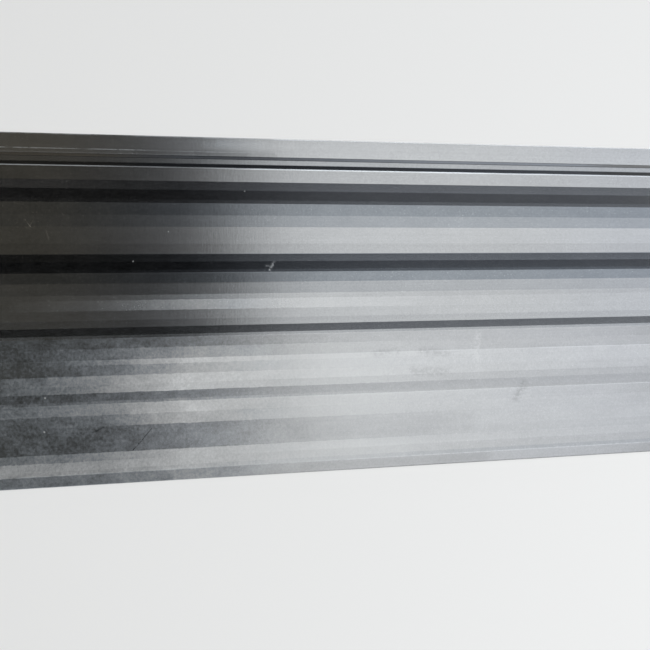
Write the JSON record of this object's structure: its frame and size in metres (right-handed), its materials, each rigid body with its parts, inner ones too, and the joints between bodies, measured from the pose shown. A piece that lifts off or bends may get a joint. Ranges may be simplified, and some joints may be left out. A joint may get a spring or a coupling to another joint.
{
  "type": "siding panel",
  "caption": "Roll-formed steel siding panel, face up: sharp ridges between wide faceted hollows, a lapped edge with a fastening flange, and a turned-in free edge.",
  "frame": {"origin": "middle of the panel's outline, in the plane that its back rests on", "axes": "+X along the panel's length, +Y across it towards the lapped edge with the fastening flange, +Z out of the painted face"},
  "size_m": [3.048, 0.3384, 0.0122],
  "materials": {
    "painted_steel": "semi-gloss anthracite coil coating"
  },
  "bodies": {
    "root": {"siding_panel": "painted_steel"}
  },
  "joints": []
}
